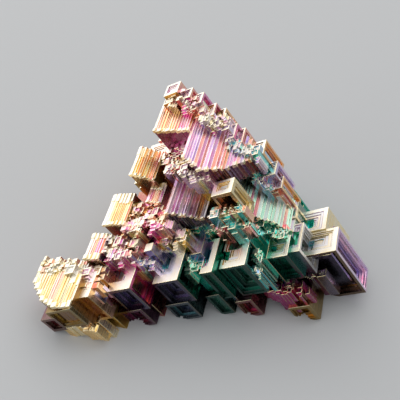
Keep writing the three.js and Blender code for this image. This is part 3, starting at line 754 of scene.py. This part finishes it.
def grow_rubble(low, high, top, cubes, edge, film, pale=0.6, deep=0.0, dark=0.45):
    """Small cubes, little stairs and crumbs scattered over a patch from low to high.

    top is how high it stands at its left and right, edge is how wide the cubes are, and pale is the share
    of tops that are cream. deep and dark are painted shade, on all of each crystal and on its front.
    """
    for i in range(cubes):
        across = layout.share()
        u = low[0] + (high[0] - low[0]) * across
        v = layout.between(low[1], high[1])
        w = top[0] + (top[1] - top[0]) * across + layout.share() - 0.5
        width, depth = layout.between(*edge), layout.between(*edge)
        at = [u + width / 2, v - depth / 2, w]
        tone = detail.pick(film)
        top_tone = CREAM if detail.share() < pale else tone
        kind = i % 3
        if kind == 0:
            grow_block(at, [width, depth, SMALL_CUBE_DEPTH], "t", (tone, tone, tone, top_tone, tone),
                       drop=SMALL_CUBE_DROP, steps=SMALL_CUBE_STEPS, deep=deep, dark=dark)
        else:
            height, ridges, towards = SMALL_STAIRS[kind - 1]
            grow_small_stair(at, [width, depth, height], ridges, towards, tone, tone, deep, dark)
    for _ in range(cubes * CRUMBS_A_CUBE):
        across = detail.share()
        u = low[0] + (high[0] - low[0]) * across
        v = detail.between(low[1], high[1])
        w = top[0] + (top[1] - top[0]) * across + CRUMB_SPREAD * (detail.share() - CRUMB_SUNK)
        width, depth = detail.above(*CRUMB_SIDE), detail.above(*CRUMB_SIDE)
        tone = detail.pick(film)
        top_tone = CREAM if detail.share() < pale else tone
        grown(cube_mesh([u - width, v, w - SMALL_DEPTH], [u, v + depth, w], (top_tone, tone, tone, tone),
                        deep, dark, arris=CRUMB_ARRIS))


for core in CORES.values():
    grow_block(**core)
for stair in STAIRS.values():
    grow_stair(**stair)
for block in BLOCKS.values():
    grow_block(**block)
for patch in RUBBLE.values():
    grow_rubble(**patch)
for step in CHAIN_STEPS:
    grow_small_stair(**step, towards="f", dark=CHAIN_STEP_SHADE)

parts = list(growth.objects)
meshes = [part.data for part in parts]
for part in parts:
    bpy.data.objects.remove(part)
bpy.data.collections.remove(growth)
cluster = joined(meshes[0], meshes[1:], "UNION")
cluster.transform(TO_ROW)


def table_block(side=0.2):
    """A block that stands on the table and is larger than the cluster, to keep what lies above the cut."""
    bm = bmesh.new()
    bm.faces.layers.float.new("film")
    bm.faces.layers.float.new("deep")
    bmesh.ops.create_cube(bm, size=side)
    bmesh.ops.translate(bm, vec=(0, 0, side / 2), verts=bm.verts)
    mesh = bpy.data.meshes.new("above table")
    bm.to_mesh(mesh)
    bm.free()
    return mesh


cluster = joined(cluster, [table_block()], "INTERSECT")


def keep_largest(mesh):
    """Drops any crumb that isn't joined to the cluster."""
    bm = bmesh.new()
    bm.from_mesh(mesh)
    unseen = set(bm.verts)
    islands = []
    while unseen:
        reached = {unseen.pop()}
        frontier = list(reached)
        while frontier:
            vert = frontier.pop()
            for edge in vert.link_edges:
                other = edge.other_vert(vert)
                if other in unseen:
                    unseen.discard(other)
                    reached.add(other)
                    frontier.append(other)
        islands.append(reached)
    largest = max(islands, key=len)
    bmesh.ops.delete(bm, geom=[v for v in bm.verts if v not in largest], context="VERTS")
    bm.to_mesh(mesh)
    bm.free()


keep_largest(cluster)
cluster.name = "hopper_crystal_grown"
crystal = bpy.data.objects.new("hopper_crystal_grown", cluster)
bpy.context.scene.collection.objects.link(crystal)
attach(crystal, "root")
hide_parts("hopper_crystal")


# Materials

FILM_COLOURS = [
    (SILVER, (0.88, 0.87, 0.88)),
    (CREAM, (0.95, 0.89, 0.77)),
    (STRAW, (0.94, 0.82, 0.54)),
    (GOLD, (0.93, 0.67, 0.30)),
    (AMBER, (0.92, 0.55, 0.30)),
    (PEACH, (0.94, 0.62, 0.46)),
    (CORAL, (0.90, 0.42, 0.38)),
    (MAGENTA, (0.78, 0.22, 0.47)),
    (PINK, (0.91, 0.66, 0.75)),
    (LILAC, (0.80, 0.67, 0.84)),
    (VIOLET, (0.50, 0.42, 0.70)),
    (BLUE, (0.60, 0.76, 0.88)),
    (TURQUOISE, (0.30, 0.82, 0.78)),
    (TEAL, (0.16, 0.66, 0.50)),
    (min(MINT, 1), (0.70, 0.86, 0.76)),
]
NOISE_SPAN = (0.3, 0.7)  # where most of a noise's values lie
CLOUD_SCALE = 420
LINE_STRETCH = (4600, 160, 4600)  # the growth lines are long along v and fine across it
DEEPEST_LOSS = 0.9  # the share of the colour that the painted shade takes away at its strongest
VIVIDNESS = 2.0  # how much stronger the colours get half-way into the painted shade: partly the thicker oxide in hollows, partly painted shade
VIVID_DOWN_TO = 0.8
GLOSS = (0.18, 0.38)  # the least and the most roughness of a clean film
FROST = 0.24  # how much rougher the thinnest film is
FROST_FILM = (0.14, 0.06)  # where the frost begins and is full


def node(tree, kind, **settings):
    made = tree.nodes.new(kind)
    for name, value in settings.items():
        setattr(made, name, value)
    return made


def maths(tree, operation, a, b, clamp=False):
    made = node(tree, "ShaderNodeMath", operation=operation, use_clamp=clamp)
    for socket, value in zip(made.inputs, (a, b)):
        if isinstance(value, (int, float)):
            socket.default_value = value
        else:
            tree.links.new(value, socket)
    return made.outputs[0]


def noise(tree, place, scale, fineness):
    made = node(tree, "ShaderNodeTexNoise", noise_dimensions="3D")
    made.inputs["Scale"].default_value = scale
    made.inputs["Detail"].default_value = fineness
    tree.links.new(place, made.inputs["Vector"])
    return made.outputs["Fac"]


def mapped(tree, value, source, target):
    """value taken from the source range to the target range."""
    made = node(tree, "ShaderNodeMapRange")
    made.inputs["From Min"].default_value, made.inputs["From Max"].default_value = source
    made.inputs["To Min"].default_value, made.inputs["To Max"].default_value = target
    tree.links.new(value, made.inputs["Value"])
    return made.outputs["Result"]


def film_and_painted_shade_group():
    """Turns film thickness into the oxide film's colour, gloss and growth lines, and adds painted shade."""
    # the group holds both the oxide film's colour and the painted shade
    tree = bpy.data.node_groups.new("oxide film", "ShaderNodeTree")
    face = tree.interface
    for name, value in (("Film", 0.3), ("Depth", 0), ("Clouding", 0.5), ("Lines", 0.5)):
        socket = face.new_socket(name=name, in_out="INPUT", socket_type="NodeSocketFloat")
        socket.default_value = value
        socket.min_value = 0
    face.new_socket(name="Lattice Position", in_out="INPUT", socket_type="NodeSocketVector")
    face.new_socket(name="Colour", in_out="OUTPUT", socket_type="NodeSocketColor")
    face.new_socket(name="Roughness", in_out="OUTPUT", socket_type="NodeSocketFloat")
    face.new_socket(name="Growth Lines", in_out="OUTPUT", socket_type="NodeSocketFloat")
    inside = node(tree, "NodeGroupInput").outputs
    outside = node(tree, "NodeGroupOutput").inputs

    stretched = node(tree, "ShaderNodeVectorMath", operation="MULTIPLY")
    stretched.inputs[1].default_value = LINE_STRETCH
    tree.links.new(inside["Lattice Position"], stretched.inputs[0])
    clouds = noise(tree, inside["Lattice Position"], scale=CLOUD_SCALE, fineness=3)
    lines = noise(tree, stretched.outputs["Vector"], scale=1, fineness=2)

    drift = maths(tree, "MULTIPLY", maths(tree, "SUBTRACT", clouds, 0.5), inside["Clouding"])
    banding = maths(tree, "MULTIPLY", maths(tree, "SUBTRACT", lines, 0.5), inside["Lines"])
    film = maths(tree, "ADD", maths(tree, "ADD", inside["Film"], drift), banding, clamp=True)

    ramp = node(tree, "ShaderNodeValToRGB")
    stops = ramp.color_ramp.elements
    while len(stops) > 1:
        stops.remove(stops[-1])
    stops[0].position = FILM_COLOURS[0][0]
    stops[0].color = (*FILM_COLOURS[0][1], 1)
    for place, colour in FILM_COLOURS[1:]:
        stops.new(place).color = (*colour, 1)
    tree.links.new(film, ramp.inputs["Fac"])

    # painted shade from the faces' deep: more vivid colour half-way, partly the thicker oxide in hollows
    depth = inside["Depth"]
    vivid = node(tree, "ShaderNodeHueSaturation")
    swell = maths(tree, "MULTIPLY", maths(tree, "MULTIPLY", depth, VIVIDNESS),
                  maths(tree, "SUBTRACT", VIVID_DOWN_TO, depth))
    tree.links.new(maths(tree, "ADD", 1.0, swell), vivid.inputs["Saturation"])
    tree.links.new(ramp.outputs["Color"], vivid.inputs["Color"])

    # painted shade: the colour darkened the more, the higher the faces' deep
    light = maths(tree, "SUBTRACT", 1.0, maths(tree, "MULTIPLY", depth, DEEPEST_LOSS))
    grey = node(tree, "ShaderNodeCombineColor")
    for channel in ("Red", "Green", "Blue"):
        tree.links.new(light, grey.inputs[channel])
    darkened = node(tree, "ShaderNodeMix", data_type="RGBA", blend_type="MULTIPLY")
    darkened.inputs["Factor"].default_value = 1
    tree.links.new(vivid.outputs["Color"], darkened.inputs["A"])
    tree.links.new(grey.outputs["Color"], darkened.inputs["B"])
    tree.links.new(darkened.outputs["Result"], outside["Colour"])

    mean = maths(tree, "MULTIPLY", maths(tree, "ADD", clouds, lines), 0.5)
    rough = mapped(tree, mean, NOISE_SPAN, GLOSS)
    frosted = mapped(tree, inside["Film"], FROST_FILM, (0, FROST))
    tree.links.new(maths(tree, "ADD", rough, frosted), outside["Roughness"])
    tree.links.new(lines, outside["Growth Lines"])
    return tree


def film_material():
    material = bpy.data.materials.new("oxide filmed bismuth")
    material.use_nodes = True
    tree = material.node_tree
    shader = tree.nodes["Principled BSDF"]
    shader.inputs["Metallic"].default_value = 1
    place = node(tree, "ShaderNodeTexCoord")
    lattice = node(tree, "ShaderNodeMapping")
    lattice.inputs["Rotation"].default_value = TO_ROW.to_3x3().normalized().inverted().to_euler("XYZ")
    film = node(tree, "ShaderNodeAttribute", attribute_name="film")
    deep = node(tree, "ShaderNodeAttribute", attribute_name="deep")
    group = node(tree, "ShaderNodeGroup", node_tree=film_and_painted_shade_group())
    group.inputs["Clouding"].default_value = 0.14
    group.inputs["Lines"].default_value = 0.16
    growth_lines = node(tree, "ShaderNodeBump")
    growth_lines.inputs["Strength"].default_value = 0.2
    growth_lines.inputs["Distance"].default_value = 0.00003
    tree.links.new(place.outputs["Object"], lattice.inputs["Vector"])
    tree.links.new(lattice.outputs["Vector"], group.inputs["Lattice Position"])
    tree.links.new(film.outputs["Fac"], group.inputs["Film"])
    tree.links.new(deep.outputs["Fac"], group.inputs["Depth"])
    tree.links.new(group.outputs["Colour"], shader.inputs["Base Color"])
    tree.links.new(group.outputs["Roughness"], shader.inputs["Roughness"])
    tree.links.new(group.outputs["Growth Lines"], growth_lines.inputs["Height"])
    tree.links.new(growth_lines.outputs["Normal"], shader.inputs["Normal"])
    return material


# the material's base colour carries the painted shade from the film group
cluster.materials.clear()
cluster.materials.append(film_material())


# Floor, light and camera

AIM = (0, 0, 0.01)  # what the lamps point at, a little above the table's middle


def plain(name, colour, roughness):
    material = bpy.data.materials.new(name)
    material.use_nodes = True
    shader = material.node_tree.nodes["Principled BSDF"]
    shader.inputs["Base Color"].default_value = (*colour, 1)
    shader.inputs["Roughness"].default_value = roughness
    return material


def floor_piece():
    bm = bmesh.new()
    bmesh.ops.create_grid(bm, x_segments=1, y_segments=1, size=1.5)
    mesh = bpy.data.meshes.new("floor")
    bm.to_mesh(mesh)
    bm.free()
    floor = bpy.data.objects.new("floor", mesh)
    bpy.context.scene.collection.objects.link(floor)
    mesh.materials.append(plain("pale floor", (0.55, 0.54, 0.53), 0.8))


def softbox(name, place, size, power):
    lamp = bpy.data.lights.new(name, "AREA")
    lamp.shape = "RECTANGLE"
    lamp.size, lamp.size_y = size
    lamp.energy = power
    light = bpy.data.objects.new(name, lamp)
    bpy.context.scene.collection.objects.link(light)
    light.location = place
    light.rotation_euler = (Vector(AIM) - Vector(place)).to_track_quat("-Z", "Y").to_euler()


floor_piece()
softbox("window", place=(-0.58, 0.64, 0.3), size=(1.6, 1), power=11)
softbox("skylight", place=(0.26, 0.46, 0.78), size=(0.8, 0.8), power=3.4)
softbox("side fill", place=(-0.85, -0.36, 0.24), size=(0.6, 0.5), power=2.2)

world = bpy.data.worlds.new("studio")
bpy.context.scene.world = world
world.use_nodes = True
world.node_tree.nodes["Background"].inputs["Color"].default_value = (0.9, 0.95, 1, 1)
world.node_tree.nodes["Background"].inputs["Strength"].default_value = 1

camera = bpy.data.cameras.new("camera")
camera.sensor_width = 36
camera.lens = 63
camera.clip_start = 0.01
view = bpy.data.objects.new("camera", camera)
view.location = (-0.0013, -0.08237, 0.11275)
view.rotation_euler = (math.radians(40), 0, 0)
bpy.context.scene.collection.objects.link(view)
bpy.context.scene.camera = view
bpy.context.scene.view_settings.view_transform = "Standard"
bpy.context.scene.view_settings.exposure = -0.7
